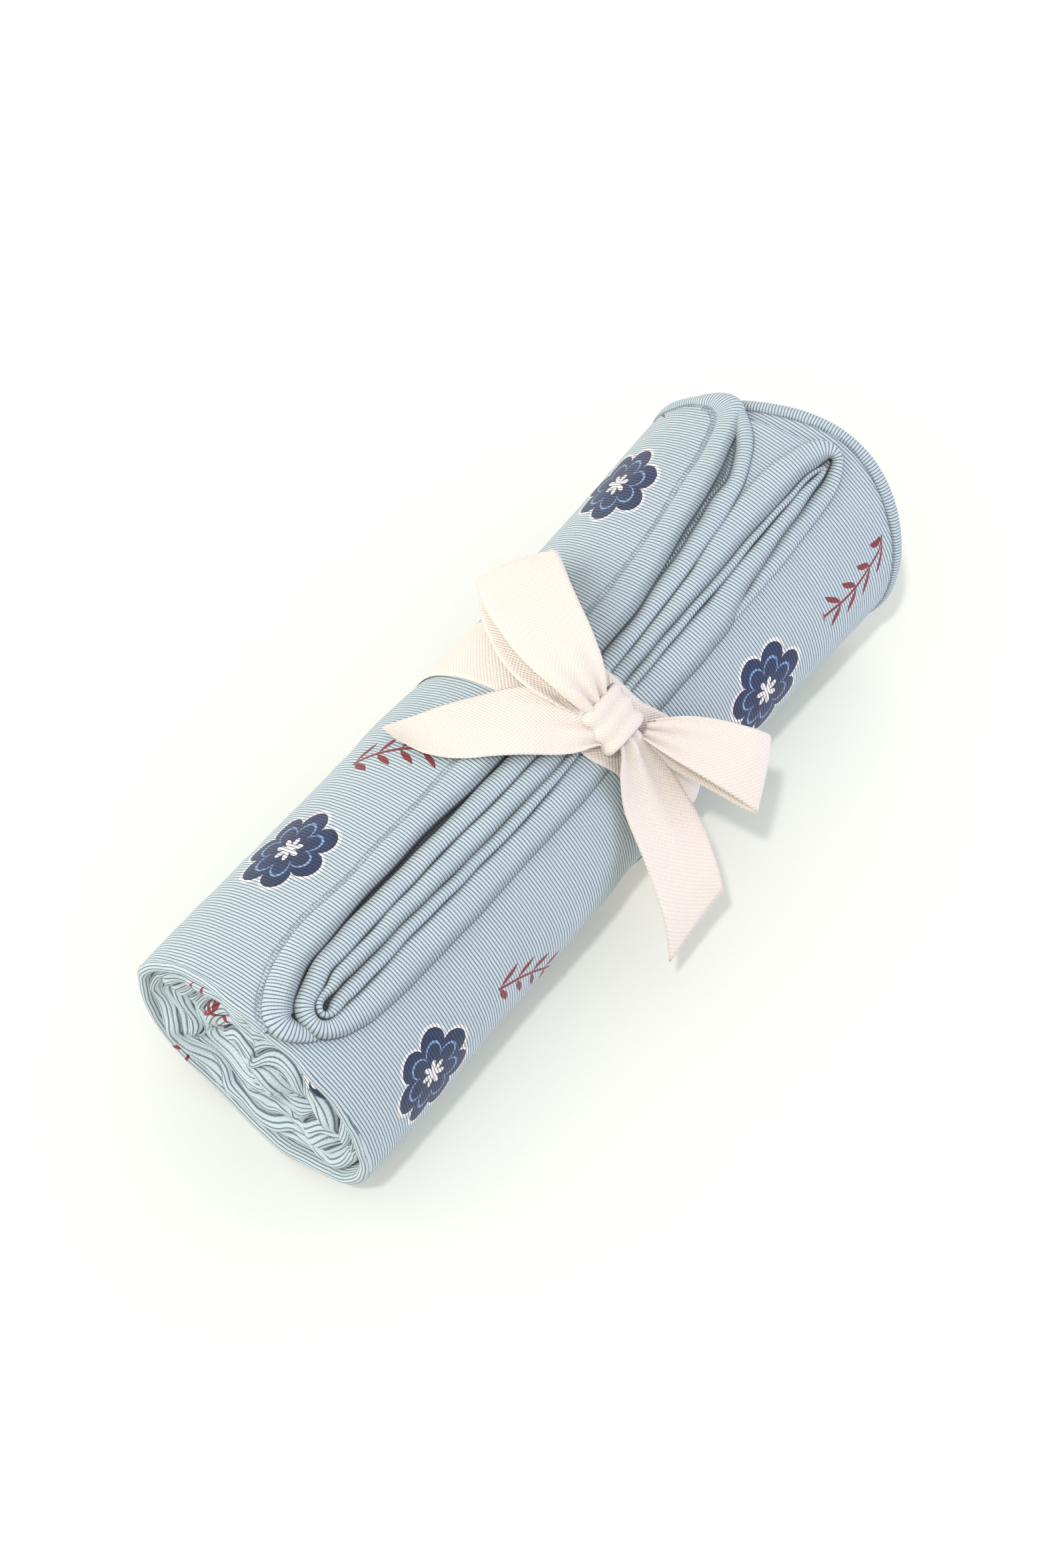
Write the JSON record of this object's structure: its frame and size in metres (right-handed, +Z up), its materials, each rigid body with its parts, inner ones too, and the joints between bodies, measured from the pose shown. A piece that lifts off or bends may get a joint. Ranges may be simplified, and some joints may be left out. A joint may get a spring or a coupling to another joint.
{
  "type": "rolled swaddle blanket tied with a ribbon bow",
  "caption": "Square knit baby blanket folded to a strip and rolled into a fat cylinder, its stepped hems on top, tied round the middle with a cream ribbon bow.",
  "frame": {"origin": "middle of the underside of the box round the whole part, on the surface that it rests on", "axes": "+X along the roll, from its folded end to its hemmed end; +Z up; the ribbon's knot lies on the upper -Y side"},
  "size_m": [0.2148, 0.092, 0.0789],
  "materials": {
    "knit_cloth": "pale blue-grey fine ribbed cotton knit, matt",
    "ribbon_tape": "cream woven cotton tape, matt"
  },
  "bodies": {
    "root": {"blanket": "knit_cloth", "ribbon": "ribbon_tape"}
  },
  "joints": []
}
